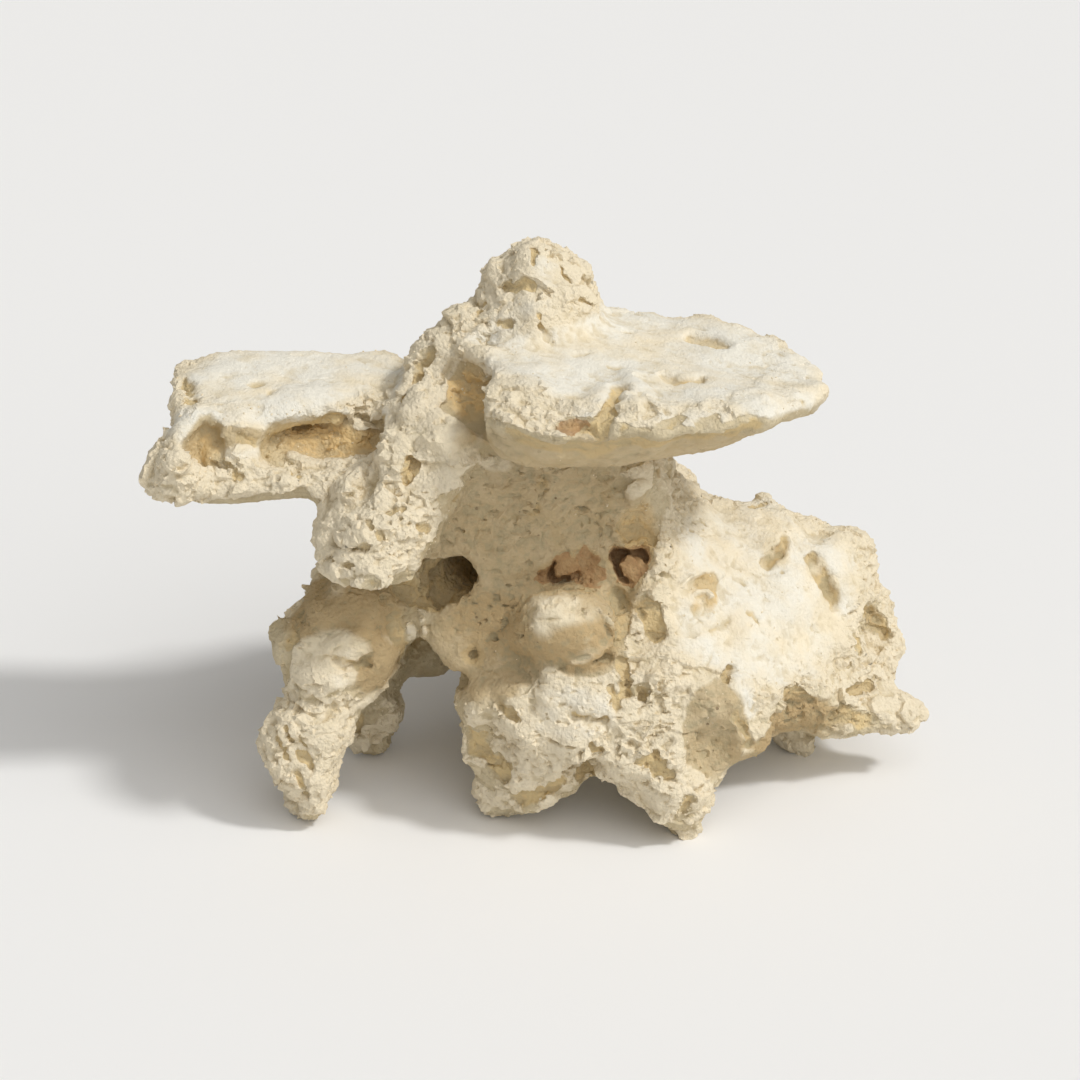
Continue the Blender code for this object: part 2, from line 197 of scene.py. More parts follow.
# the CAD's round holes over the boss are plugged, then cut again to these outlines
holes = {
    "plugs": [((563, 566), 11), ((580, 564), 11), ((552, 570), 9), ((630, 564), 10)],
    "pluggedAt": (590, 530),  # level with the stone here
    "outlines": {  # corners, how deep in mm, how much narrower at the back
        "star": ([(533, 578), (542, 569), (551, 566), (555, 557), (566, 551), (575, 558), (583, 543),
                  (591, 553), (603, 556), (597, 565), (608, 570), (609, 579), (600, 583), (601, 590),
                  (586, 586), (576, 583), (562, 580), (552, 584), (540, 583)], 3.8, 0.97),
        "chip": ([(546, 573), (551, 560), (565, 551), (577, 556), (582, 569), (573, 582), (555, 585),
                  (546, 581)], 13, 0.9),
        "shield": ([(610, 545), (627, 548), (649, 544), (651, 558), (645, 574), (632, 589), (618, 582),
                    (614, 569), (608, 560)], 16, 0.85),
        "cave": ([(426, 572), (440, 561), (455, 557), (470, 563), (481, 573), (479, 584), (466, 592),
                  (456, 595), (450, 608), (436, 610), (424, 596), (432, 583)], 12, 0.85),
    },
    "tablets": [  # what stands inside them: outline, how far in, and to what depth
        ([(554, 570), (559, 561), (568, 555), (577, 559), (580, 570), (570, 575), (557, 578)], 2.0, 16),
        ([(619, 564), (628, 554), (644, 552), (643, 568), (633, 582), (623, 575)], 3.0, 19),
    ],
    "lips": [  # where, level with, radius, how far in
        ((478, 597), (488, 600), 6.5, 5.5), ((470, 604), (488, 600), 6.0, 6.0),  # the cave
        ((409, 471), (420, 484), 6.0, 5.0),  # the shoulder's round hole
        ((262, 424), (258, 410), 6.0, 6.0), ((278, 420), (276, 404), 6.0, 6.0),  # the upper left plate
        ((296, 416), (296, 401), 5.5, 6.0), ((314, 415), (314, 400), 5.5, 6.0),
        ((332, 415), (332, 401), 5.5, 6.0), ((350, 416), (350, 402), 5.5, 6.0),
        ((368, 416), (368, 404), 5.5, 6.0), ((386, 418), (384, 406), 5.5, 6.0),
        ((718, 581), (726, 583), 5.5, 5.0), ((688, 606), (679, 608), 5.0, 4.5),  # the slab's pit
        ((704, 603), (704, 624), 7.5, 10.5),
    ],
    "inFront": -8,  # mm, where a cut starts
    "reach": 25,  # mm, how deep the bare stone inside goes
    "plugSunk": 0.75,  # of its radius
}


def prism(outline, near, far, taper):  # a plug along the lines of sight, from near to far
    spots = [seen(px, py)[0] for px, py in outline]
    depth = (sum(spots, Vector()) / len(spots) - eye).length
    solid = bmesh.new()
    rings = []
    for at, size in ((depth + near, 1.0), (depth + far, taper)):
        ring = [eye + sightLine(px, py) * at for px, py in outline]
        centre = sum(ring, Vector()) / len(ring)
        rings.append([solid.verts.new((centre + (p - centre) * size) * mm) for p in ring])
    front, rear = rings
    solid.faces.new(front)
    solid.faces.new(rear)
    for i in range(len(front)):
        solid.faces.new((front[i - 1], front[i], rear[i], rear[i - 1]))
    bmesh.ops.recalc_face_normals(solid, faces=solid.faces)
    mesh = bpy.data.meshes.new("prism")
    solid.to_mesh(mesh)
    solid.free()
    return mesh


def ball(centre, radius):
    solid = bmesh.new()
    bmesh.ops.create_icosphere(solid, subdivisions=3, radius=radius * mm)
    bmesh.ops.translate(solid, verts=solid.verts, vec=centre * mm)
    mesh = bpy.data.meshes.new("ball")
    solid.to_mesh(mesh)
    solid.free()
    return mesh


def addMeshes(target, meshes):
    merged = bmesh.new()
    for mesh in [target.data, *meshes]:
        merged.from_mesh(mesh)
    merged.to_mesh(target.data)
    merged.free()


def cutMesh(target, mesh):
    cutter = newObject("cutter", mesh)
    cut = target.modifiers.new("cut", "BOOLEAN")
    cut.operation = "DIFFERENCE"
    cut.object = cutter
    applyModifiers(target)
    bpy.data.objects.remove(cutter)


def insideOutline(points, outline):  # the points in front of which the outline lies, seen from the camera
    away = points - np.array(eye)
    focal = look["lens"] / look["sensor"] * look["picture"]
    deep = away @ -np.array(backward)
    across = look["picture"] / 2 + focal * (away @ np.array(sightRight)) / deep
    down = look["picture"] / 2 - focal * (away @ np.array(sightUp)) / deep
    near = (seen(*outline[0])[0] - eye).length
    inside = np.zeros(len(points), dtype=bool)
    for (x0, y0), (x1, y1) in zip(outline, outline[1:] + outline[:1]):
        if y0 != y1:
            inside ^= ((y0 > down) != (y1 > down)) & (across < (x1 - x0) * (down - y0) / (y1 - y0) + x0)
    return inside & (np.linalg.norm(away, axis=1) < near + holes["reach"])


level = (seen(*holes["pluggedAt"])[0] - eye).length
plugs = []
for at, size in holes["plugs"]:
    plugs.append(ball(eye + sightLine(*at) * (level + size * holes["plugSunk"]), size))
addMeshes(body, plugs)
for at, beside, size, inward in holes["lips"]:
    level = (seen(*beside)[0] - eye).length
    addMeshes(body, [ball(eye + sightLine(*at) * (level + inward), size)])
reskin(body, rockBody["softGrain"], 2)
softTree = searchTree(body.data)
for outline, depth, taper in holes["outlines"].values():
    cutMesh(body, prism(outline, holes["inFront"], depth, taper))
    reskin(body, rockBody["fineGrain"] * rockBody["cutGrain"], 0)
addMeshes(body, [prism(outline, near, far, 1.0) for outline, near, far in holes["tablets"]])
reskin(body, rockBody["fineGrain"], 1)
points = readPoints(body.data)
normals = readNormals(body.data)
print("body: fine skin,", len(points), "points")

# marks: pixels of the picture that they run through, half width and lift in mm
# (a cut where it is negative), how flat from 0 a bowl to 1 with steep walls, and how ragged;
# each group starts with how bare its cuts leave the stone
marks = {
    "shelfTop": (0.2, [
        ([(692, 337), (706, 339), (722, 343)], 5.5, -3.5, 0.5, 0.25),
        ([(667, 375), (682, 380), (700, 377)], 4.5, -3.5, 0.4, 0.7),
        ([(612, 366), (622, 367)], 3.5, -1.3, 0.4, 0.5),
        ([(625, 331), (630, 332)], 2.0, -3.0, 0.5, 0.3),
        ([(540, 320), (544, 330), (552, 345)], 2.0, -4.0, 0.4, 0.8),
        ([(630, 376), (638, 390)], 8.0, 3.0, 0.1, 0.3),
        ([(530, 385), (560, 398)], 15.0, 2.5, 0.0, 0.2),
        ([(745, 362)], 12.0, -0.8, 0.0, 0.3),
        ([(575, 355), (590, 352)], 3.0, -1.2, 0.2, 0.8),
    ]),
    "pinnacle": (0.35, [
        ([(505, 285), (517, 289), (526, 284)], 4.8, -3.2, 0.2, 0.8),
        ([(484, 342), (494, 332), (506, 324)], 4.2, -2.4, 0.1, 0.8),
        ([(476, 302), (484, 312)], 4.0, -1.8, 0.1, 0.8),
        ([(560, 262), (563, 275), (572, 282)], 1.7, -2.2, 0.4, 0.8),
        ([(532, 248), (534, 265)], 2.6, -2.2, 0.3, 0.8),
        ([(574, 262), (581, 272)], 1.7, -2.0, 0.3, 0.8),
        ([(470, 372), (488, 380)], 4.0, 2.5, 0.2, 0.6),
        ([(420, 372), (432, 350)], 4.0, -2.0, 0.2, 0.6),
        ([(455, 392), (470, 400), (482, 400)], 8.0, 2.5, 0.1, 0.4),
        ([(446, 398), (456, 414)], 9.0, 4.0, 0.0, 0.2),
        ([(578, 300), (592, 306)], 2.4, -1.6, 0.3, 0.7),
    ]),
    "rim": (0.25, [
        ([(618, 388), (611, 402), (605, 418), (600, 432)], 5.5, -4.0, 0.2, 0.4),
        ([(508, 398), (522, 412)], 4.0, 1.8, 0.2, 0.5),
        ([(536, 414), (552, 420)], 4.0, 2.2, 0.2, 0.6),
        ([(566, 412), (578, 408)], 4.5, 2.2, 0.2, 0.6),
        ([(600, 428), (602, 418)], 3.0, 1.6, 0.2, 0.6),
        ([(629, 398), (636, 412)], 5.5, 3.0, 0.2, 0.5),
        ([(652, 404), (660, 414)], 4.0, 2.0, 0.2, 0.5),
        ([(668, 424), (678, 416)], 5.0, -1.2, 0.1, 0.6),
        ([(686, 425), (690, 432)], 4.4, 1.6, 0.0, 0.5),
        ([(706, 424), (716, 416)], 5.0, -0.9, 0.1, 0.6),
        ([(745, 418), (752, 410)], 5.0, -0.8, 0.1, 0.6),
        ([(640, 404), (648, 398)], 5.0, 2.2, 0.1, 0.6),
        ([(672, 408)], 4.0, 1.6, 0.1, 0.6),
        ([(694, 412), (702, 408)], 4.5, 2.0, 0.1, 0.6),
        ([(733, 411)], 4.0, 1.6, 0.1, 0.6),
        ([(765, 400)], 4.5, 1.4, 0.1, 0.6),
        ([(800, 396), (806, 404)], 2.6, -1.4, 0.3, 0.5),
        ([(557, 440), (570, 437), (583, 441)], 3.8, 2.4, 0.2, 0.6),
        ([(561, 428), (586, 427)], 3.2, -2.8, 0.4, 0.3),
    ]),
    "shelfSide": (0.0, [
        ([(512, 436), (545, 449), (590, 452), (640, 444), (700, 438), (760, 430)], 6.0, -2.4, 0.2, 0.15),
        ([(507, 388), (494, 400), (488, 416), (490, 433), (503, 448), (525, 460), (548, 469), (573, 471),
          (600, 463), (640, 455), (662, 450)], 2.4, 2.4, 0.2, 0.35),
        ([(500, 411), (513, 424), (530, 433), (548, 437)], 1.9, 1.8, 0.2, 0.4),
        ([(560, 458), (600, 454), (650, 447), (700, 442)], 1.5, 1.0, 0.2, 0.4),
        ([(620, 432), (626, 424), (640, 418), (668, 412)], 1.6, -1.4, 0.3, 0.5),
    ]),
    "column": (0.5, [
        ([(474, 654)], 8.5, -1.6, 0.3, 0.2),
        ([(473, 656)], 3.2, -5.0, 0.3, 0.3),
        ([(500, 629), (506, 622)], 1.7, -3.0, 0.5, 0.6),
        ([(487, 641), (497, 633)], 1.5, -2.5, 0.5, 0.6),
        ([(640, 474), (634, 490), (629, 503)], 7.5, 4.0, 0.4, 0.5),
        ([(631, 524), (640, 540)], 9.5, -3.0, 0.7, 0.2),
        ([(616, 512), (613, 530), (617, 547), (630, 541), (646, 536), (652, 546)], 1.7, 1.8, 0.3, 0.3),
        ([(598, 472), (601, 500), (598, 522)], 2.0, -1.5, 0.3, 0.6),
        ([(546, 473), (541, 492), (538, 510)], 1.8, -1.6, 0.3, 0.6),
        ([(528, 470), (530, 480)], 1.4, -2.0, 0.3, 0.6),
        ([(455, 500), (480, 478)], 2.0, -1.3, 0.3, 0.9),
        ([(485, 528), (495, 526)], 1.8, -1.6, 0.3, 0.7),
        ([(503, 522), (520, 515), (538, 514)], 2.2, -1.5, 0.3, 0.9),
        ([(515, 530), (540, 524)], 1.8, -1.2, 0.3, 0.9),
        ([(452, 505), (458, 498)], 1.8, -1.6, 0.3, 0.7),
        ([(600, 612), (608, 622), (614, 634), (610, 643), (598, 650), (588, 658), (570, 664)],
         2.0, 2.6, 0.3, 0.3),
        ([(596, 659), (608, 657)], 3.4, -5.0, 0.5, 0.5),
        ([(648, 608), (652, 622), (655, 634)], 6.5, -3.0, 0.7, 0.35),
        ([(618, 598), (624, 618), (618, 636)], 6.0, -2.0, 0.5, 0.3),
        ([(638, 640), (646, 618), (640, 604)], 1.6, 1.4, 0.3, 0.4),
        ([(420, 606), (427, 632), (437, 658), (458, 676)], 2.0, 2.4, 0.3, 0.3),
        ([(404, 586), (420, 590), (432, 600)], 8.0, -4.0, 0.3, 0.4),
        ([(437, 566), (432, 580), (428, 594)], 6.0, -6.0, 0.4, 0.4),
        ([(440, 604), (455, 607), (462, 600)], 3.0, 2.2, 0.3, 0.6),
        ([(573, 585), (581, 596), (580, 606)], 4.0, 1.2, 0.1, 0.8),
        ([(530, 612), (552, 606), (560, 600)], 1.5, -0.9, 0.2, 0.7),
        ([(522, 626), (548, 620), (570, 618)], 1.5, -0.8, 0.2, 0.7),
        ([(585, 640), (592, 652)], 13.0, 2.6, 0.0, 0.1),
        ([(536, 618), (560, 604)], 9.0, 1.2, 0.0, 0.5),
        ([(552, 558), (548, 563)], 1.6, -2.0, 0.3, 0.4),
        ([(582, 588), (592, 588)], 1.8, -2.4, 0.3, 0.5),
    ]),
    "slab": (1.55, [
        ([(692, 595), (703, 592), (712, 599)], 2.4, 3.0, 0.2, 0.6),
        ([(686, 576), (692, 572)], 4.0, 3.0, 0.1, 0.5),
        ([(786, 541), (777, 552), (766, 563)], 4.8, -3.4, 0.3, 0.6),
        ([(812, 558), (820, 570), (827, 584), (834, 602)], 5.2, -3.4, 0.3, 0.6),
        ([(866, 610), (878, 622), (884, 632)], 5.0, -3.0, 0.2, 0.7),
        ([(858, 636), (860, 655)], 3.0, -1.5, 0.1, 0.7),
        ([(850, 694), (860, 689), (870, 686)], 3.2, -3.4, 0.5, 0.4),
        ([(750, 611), (758, 622)], 2.8, -1.6, 0.1, 0.6),
        ([(735, 578), (742, 582)], 2.4, -1.1, 0.1, 0.7),
        ([(726, 678), (731, 668)], 2.8, -3.6, 0.5, 0.5),
        ([(752, 506), (764, 502)], 3.6, -2.0, 0.3, 0.3),
        ([(743, 518), (750, 521)], 2.6, -1.0, 0.1, 0.3),
        ([(774, 640), (784, 643)], 2.4, -0.9, 0.1, 0.7),
        ([(712, 632), (722, 628), (732, 618)], 2.6, -1.4, 0.1, 0.7),
        ([(740, 570), (760, 576), (782, 572)], 2.2, -1.1, 0.1, 0.9),
        ([(684, 522), (702, 521)], 2.6, -1.3, 0.1, 0.9),
        ([(690, 530), (698, 532)], 2.2, -1.0, 0.1, 0.8),
        ([(833, 671), (852, 667)], 2.2, -1.1, 0.1, 0.8),
        ([(772, 694), (784, 684), (800, 683)], 2.2, 1.6, 0.3, 0.6),
        ([(825, 714), (838, 702), (854, 700)], 2.0, 1.6, 0.3, 0.6),
        ([(790, 700), (806, 712), (812, 730)], 8.0, -3.0, 0.6, 0.4),
        ([(832, 722), (850, 716), (866, 722)], 6.0, -2.5, 0.6, 0.4),
        ([(780, 720), (764, 730), (748, 742)], 4.0, 2.0, 0.2, 0.5),
        ([(664, 560), (672, 545)], 3.0, -1.0, 0.1, 0.9),
        ([(662, 575), (676, 580)], 2.6, -1.0, 0.1, 0.9),
    ]),
    "front": (0.3, [
        ([(572, 772), (575, 760), (587, 754), (598, 760), (602, 771)], 1.8, 2.4, 0.3, 0.3),
        ([(587, 772)], 6.5, -5.0, 0.4, 0.2),
        ([(470, 735), (482, 750), (500, 770)], 8.0, -2.4, 0.2, 0.7),
        ([(498, 700), (508, 712), (516, 720)], 3.4, -2.4, 0.5, 0.9),
        ([(574, 716), (590, 722), (604, 722)], 3.8, -3.0, 0.5, 0.7),
        ([(652, 673), (654, 690), (650, 700)], 3.6, 3.0, 0.2, 0.4),
        ([(622, 662), (628, 680), (625, 695)], 3.2, -2.6, 0.4, 0.9),
        ([(612, 690), (620, 708)], 3.0, -2.6, 0.4, 0.8),
        ([(642, 690), (646, 702)], 2.6, -2.6, 0.4, 0.7),
        ([(735, 716), (744, 728), (752, 745)], 3.4, -3.0, 0.5, 0.9),
        ([(727, 700), (733, 715), (739, 735)], 2.4, 2.4, 0.3, 0.8),
        ([(655, 768), (668, 775)], 5.0, -2.6, 0.5, 0.6),
        ([(520, 800), (545, 794), (560, 786)], 5.0, -2.6, 0.6, 0.4),
        ([(590, 748), (600, 752)], 3.0, -2.4, 0.4, 0.7),
        ([(640, 765), (655, 755)], 3.0, -2.0, 0.4, 0.9),
        ([(690, 800), (684, 812)], 3.4, -2.0, 0.4, 0.7),
    ]),
    "leftShelf": (0.15, [
        ([(250, 385), (262, 382)], 4.0, -1.8, 0.3, 0.7),
        ([(268, 392), (276, 388)], 3.0, -1.4, 0.3, 0.7),
        ([(184, 378), (186, 400)], 5.0, -2.6, 0.4, 0.8),
        ([(240, 438), (256, 444)], 3.0, -2.0, 0.3, 0.6),
        ([(211, 433), (224, 438)], 1.5, 2.4, 0.3, 0.3),
        ([(208, 444), (214, 460)], 9.0, 5.0, 0.1, 0.4),
        ([(285, 440), (320, 440), (360, 438)], 9.0, 5.0, 0.3, 0.3),
        ([(316, 424), (332, 417), (352, 419), (380, 418)], 2.6, -2.0, 0.4, 0.6),
        ([(204, 428), (214, 424)], 2.4, 1.8, 0.3, 0.7),
        ([(222, 430), (228, 426)], 2.0, 1.8, 0.3, 0.7),
        ([(236, 430), (244, 426)], 2.0, 1.8, 0.3, 0.7),
        ([(280, 418), (290, 414)], 2.0, 1.8, 0.3, 0.7),
        ([(312, 410), (318, 414)], 2.2, 2.0, 0.3, 0.7),
        ([(340, 412), (350, 416)], 2.4, 1.8, 0.3, 0.7),
        ([(366, 415), (376, 418)], 2.4, 1.8, 0.3, 0.7),
        ([(228, 460), (238, 450)], 3.0, 2.2, 0.3, 0.6),
        ([(262, 448), (284, 462), (300, 474)], 2.6, -1.6, 0.4, 0.8),
        ([(225, 466), (238, 476)], 2.4, -1.6, 0.4, 0.8),
    ]),
    "ridge": (0.2, [
        ([(425, 362), (413, 385), (403, 399)], 5.0, -2.5, 0.3, 0.6),
        ([(406, 480), (409, 472), (412, 462)], 3.0, -4.0, 0.5, 0.5),
        ([(324, 520), (333, 542), (350, 551), (372, 546)], 1.9, -2.4, 0.3, 0.6),
        ([(358, 520), (371, 528), (381, 541)], 1.8, -2.1, 0.3, 0.6),
        ([(316, 545), (330, 562), (352, 566)], 1.7, -1.8, 0.3, 0.7),
        ([(350, 533)], 11.0, 3.2, 0.0, 0.3),
        ([(394, 440), (372, 468), (348, 490)], 7.0, 3.2, 0.1, 0.5),
        ([(424, 402), (412, 418)], 7.0, 2.4, 0.0, 0.5),
        ([(434, 440), (450, 442), (464, 434)], 10.0, 5.0, 0.1, 0.5),
        ([(400, 520), (420, 528), (428, 531)], 2.0, -2.2, 0.3, 0.7),
        ([(385, 515), (402, 508)], 2.0, -1.8, 0.3, 0.7),
        ([(345, 488), (356, 505)], 4.0, 2.0, 0.3, 0.4),
    ]),
    "leg": (0.3, [
        ([(300, 612), (296, 630), (286, 645)], 3.5, -2.6, 0.3, 0.5),
        ([(338, 662), (352, 667), (366, 664)], 3.4, -3.6, 0.5, 0.7),
        ([(330, 645), (350, 636), (372, 634)], 3.4, 1.8, 0.2, 0.5),
        ([(392, 620), (400, 640), (405, 655)], 5.0, -2.6, 0.3, 0.7),
        ([(345, 722), (356, 730), (362, 718)], 3.0, -2.2, 0.3, 0.7),
        ([(272, 730), (286, 760)], 2.0, -2.0, 0.3, 0.5),
        ([(284, 728), (302, 762)], 2.0, -2.0, 0.3, 0.5),
        ([(300, 738), (312, 770)], 2.0, -1.8, 0.3, 0.5),
        ([(296, 775), (306, 795)], 2.0, -1.5, 0.3, 0.6),
        ([(372, 585), (385, 600), (398, 612)], 3.0, -2.4, 0.3, 0.9),
    ]),
}


def toPath(spots, path):  # distance from each spot to a run of straight lines, in mm
    least = np.full(len(spots), 1e9)
    for a, b in zip(path, path[1:] or path):
        along = b - a
        t = np.clip(((spots - a) @ along) / max(along @ along, 1e-9), 0, 1)
        least = np.minimum(least, np.linalg.norm(spots - a - t[:, None] * along, axis=1))
    return least


markEdge = {
    "facing": 0.05,  # how much a point has to face the way of the mark
    "bend": 0.9,  # of the half width, where the mark is ragged
    "fray": 1.6,  # mm
    "fraySize": 2.4,  # mm
    "wall": 0.75,  # of the half width, where the steepest wall starts
}


# which points a mark reaches, and how far each is moved
def mark(points, normals, path, half, lift, flat, ragged):
    hits = [seen(px, py) for px, py in path]
    way = sum((n for _, n in hits), Vector()).normalized()
    line = [np.array(p) for p, _ in hits]
    reach = half * (1 + ragged) + 1
    low = np.min(line, axis=0) - reach
    high = np.max(line, axis=0) + reach
    facing = normals @ np.array(way) > markEdge["facing"]
    close = np.nonzero(((points > low) & (points < high)).all(axis=1) & facing)[0]
    spots = points[close]
    bend = half * markEdge["bend"] * drift(spots, half + 1, 40.0)
    fray = markEdge["fray"] * drift(spots, markEdge["fraySize"], 60.0)
    height = 1 - ramp(toPath(spots + ragged * (bend + fray), line) / half, flat * markEdge["wall"], 1.0)
    return close, height, np.array(way) * lift


moved = points.copy()
for _, group in marks.values():
    for one in group:
        close, height, way = mark(points, normals, *one)
        moved[close] += height[:, None] * way
putPoints(body.data, moved)
reskin(body, rockBody["fineGrain"], 1)
points = readPoints(body.data)
normals = readNormals(body.data)
print("body: marks,", len(points), "points")

# how the stone is worn, by place: centre, radii in mm, strength
wornPlaces = {
    "shelfTop": ((42, -18, 206), (76, 60, 12), 0.92),
    "shelfSide": ((24, -50, 180), (84, 52, 13), 0.95),
    "rimRight": ((110, -34, 194), (52, 46, 16), 0.8),
    "rimFront": ((44, -60, 194), (64, 34, 12), 0.45),
    "leftTop": ((-114, 8, 188), (60, 44, 9), 0.92),
    "leftUnder": ((-123, -16, 144), (44, 40, 8), 0.95),
    "boss": ((578, 642), (20, 18, 14), 0.85),
    "bossTop": ((545, 606), (14, 14, 11), 0.85),
    "column": ((0, -50, 128), (46, 34, 40), 0.6),
    "columnFoot": ((-24, -62, 84), (28, 24, 24), 0.65),
    "slab": ((96, -22, 96), (62, 60, 40), 0.84),
    "leftFace": ((-112, -30, 176), (60, 18, 15), 0.75),
    "pinnacle": ((-6, 8, 218), (26, 26, 26), 0.35),
    "facet": ((76, -76, 52), (20, 26, 26), 0.7),
    "leg": ((-82, -56, 84), (26, 24, 22), 0.6),
    "frontTop": ((10, -86, 66), (30, 22, 12), 0.6),
}
placeEdge = (0.75, 1.2)  # of the radii: a place is at full strength within the first, and ends at the second


def closeness(spots, centre, radii):  # 1 inside; a centre of two numbers is a pixel of the picture
    if len(centre) == 2:
        centre = seen(*centre)[0]
    away = np.sqrt((((spots - np.array(centre)) / np.array(radii)) ** 2).sum(axis=1))
    return 1 - ramp(away, *placeEdge)


def strongest(spots, places):  # for each spot, the most that any of the places gives it
    most = np.zeros(len(spots))
    for centre, radii, strength in places.values():
        most = np.maximum(most, strength * closeness(spots, centre, radii))
    return most


# how sheltered a point is from the sky and the room, 0 in the open, from the soft body
shelter = {
    "rays": 48,
    "level": 0.98,  # below 1, so that no ray runs along the surface
    "reach": 90.0,  # mm
    "lift": 1.0,  # mm
    "far": 0.6,  # how much less the farthest stone counts
    "sample": 0.06,  # of the body's faces
    "neighbours": 4,
}


def measureShelter(spots, outward):
    draw = np.random.default_rng(7)
    ways = draw.normal(size=(shelter["rays"], 3))
    ways /= np.linalg.norm(ways, axis=1)[:, None]
    hidden = np.zeros(len(spots))
    starts = (spots + outward * shelter["lift"]).tolist()
    for way in ways:
        aims = outward + way * shelter["level"]
        aims /= np.maximum(np.linalg.norm(aims, axis=1), 1e-6)[:, None]
        for i, aim in enumerate(aims.tolist()):
            distance = softTree.ray_cast(starts[i], aim, shelter["reach"])[3]
            if distance is not None:
                hidden[i] += 1 - shelter["far"] * distance / shelter["reach"]
    return hidden / shelter["rays"]


sample = newObject("shelterSample", body.data.copy())
coarse = sample.modifiers.new("coarse", "DECIMATE")
coarse.ratio = shelter["sample"]
applyModifiers(sample)
samplePoints = readPoints(sample.data)
sampleHidden = measureShelter(samplePoints, readNormals(sample.data))
bpy.data.objects.remove(sample)
nearest = KDTree(len(samplePoints))
for i, p in enumerate(samplePoints.tolist()):
    nearest.insert(p, i)
nearest.balance()
print("body: shelter from", len(samplePoints), "points")


def spreadShelter(spots):
    shares = []
    for p in spots.tolist():
        found = nearest.find_n(p, shelter["neighbours"])
        weights = [1 / (d + 0.5) for _, _, d in found]
        shares.append(sum(w * sampleHidden[i] for w, (_, i, _) in zip(weights, found)) / sum(weights))
    return np.array(shares)


# the white crust over tan stone: it lies where the rock faces the sky, and flakes off with ragged edges.
# Facing up and lying open also stand for light here, so its mask is partly painted light on the lit tops and
# partly painted shade in recesses and under things
crust = {
    "start": 0.22,
    # painted light: more white crust where the rock faces up
    "sky": 0.50,  # more of it where the rock faces up
    # painted shade: less crust, so tan stone, where the rock is sheltered
    "sheltered": -1.15,
    "flaking": 0.5,
    "size": 15.0,  # mm
    "stretch": (1.35, 1.15, 0.85),  # flakes lie wider than tall
    "thick": 0.9,  # mm
    "edge": 0.07,
    "raised": 0.2,  # more of it on raised marks
    "cuts": (0.55, 1.1, 3.2),  # cuts are bare: how much, how ragged, and in what size in mm
    # painted shade too: the cut holes are left bare tan inside
    "inHoles": -0.6,
}
# many of these places paint shade and light. Less crust, so tan stone, where shade falls: the column and its
# foot under the shelf, the boss's lower side, the leg below the shoulder and its sides, the facet, the
# undersides and the shelf's side band. More crust, so white, where light falls: the boss's top and the patch
# on the leg
crustAndLightPlaces = {  # centre, radii in mm, how much more or less crust
    "shelfTop": ((42, -14, 208), (80, 66, 12), 0.6),
    "shelfSide": ((24, -60, 183), (90, 48, 15), -1.0),
    "column": ((0, -48, 126), (44, 36, 42), -0.75),
    "columnFoot": ((-26, -60, 84), (30, 26, 26), -0.7),
    "bossTop": ((540, 606), (16, 14, 12), 0.3),
    "bossLow": ((584, 650), (18, 16, 13), -0.8),
    "chamber": ((43, -34, 138), (10, 14, 12), -0.6),
    "leftTop": ((-114, 8, 188), (64, 46, 10), 0.5),
    "leftHollow": ((335, 440), (24, 14, 6.5), -1.8),
    "leftRecess": ((210, 450), (8, 12, 8), -1.2),
    "leftBand": ((228, 437), (15, 12, 4.5), -0.9),
    "leftEdge": ((325, 412), (34, 12, 5), 0.6),
    "leftUnder": ((-123, -16, 143), (50, 44, 8), -0.8),
    "shoulder": ((-86, -50, 128), (26, 28, 26), 0.6),
    "ochreHollow": ((474, 394), (14, 12, 12), -1.0),
    "ridgeRight": ((450, 440), (17, 14, 13), 0.9),
    "slab": ((96, -22, 96), (66, 62, 42), 0.55),
    "pinnacle": ((0, 4, 220), (34, 40, 30), 0.3),
    "frontMass": ((20, -84, 40), (50, 26, 30), 0.4),
    "slabUnder": ((118, -60, 38), (36, 26, 15), -1.2),
    "facet": ((712, 728), (14, 24, 22), -1.3),
    "slabPit": ((704, 584), (7, 9, 6), -1.3),
    "slabPitLow": ((704, 605), (8, 12, 5), -1.3),
    "frontTop": ((10, -88, 64), (40, 24, 16), 0.3),
    "legTop": ((330, 608), (34, 28, 15), -1.0),
    "legLeft": ((276, 650), (7, 20, 24), -0.7),
    "legRight": ((376, 668), (9, 18, 14), -0.9),
    "legPatch": ((338, 655), (15, 14, 12), 0.9),
    "legBelow": ((310, 690), (12, 10, 8), -0.4),
    "foot": ((-116, -70, 40), (30, 30, 40), 0.4),
}

worn = strongest(points, wornPlaces)
hidden = spreadShelter(points)
stretched = points / np.array(crust["stretch"])
score = crust["start"] + crust["sky"] * normals[:, 2] + crust["sheltered"] * hidden
score += crust["flaking"] * rough(stretched, crust["size"], 31.0)
for centre, radii, more in crustAndLightPlaces.values():
    score += more * closeness(points, centre, radii)
share, uneven, size = crust["cuts"]
for bareness, group in marks.values():
    for one in group:
        close, height, _ = mark(points, normals, *one)
        ragged = share + uneven * swell(points[close], size, 17.0)
        score[close] += height * (crust["raised"] if one[2] > 0 else -bareness * ragged)
for outline, depth, taper in holes["outlines"].values():
    score[insideOutline(points, outline)] = crust["inHoles"]
crustedAndLit = ramp(score, -crust["edge"], crust["edge"])
print("body: crust on", round(crustedAndLit.mean() * 100), "percent")

# relief that is all over the rock: size and lift in mm, and how much of it is left where it is worn
relief = {
    "lumps": (15.0, 1.4, 0.25),
    "blocks": (11.0, 1.6, 0.1),
    "chips": (4.0, 1.15, 0.15),
    "knobs": (5.0, 0.25, 0.25),
    "grit": (2.1, 0.6, 0.6),
    "wrinkles": (10.0, 1.3, 1.0),
    "pits": (2.5, 1.4, 1.0),
}
bareRelief = 0.6  # how rough the stone is where the crust is off, against 1 where it is on
growth = {"every": 3.4, "wobble": 2.0, "lift": 0.5}  # the lines below the right shelf

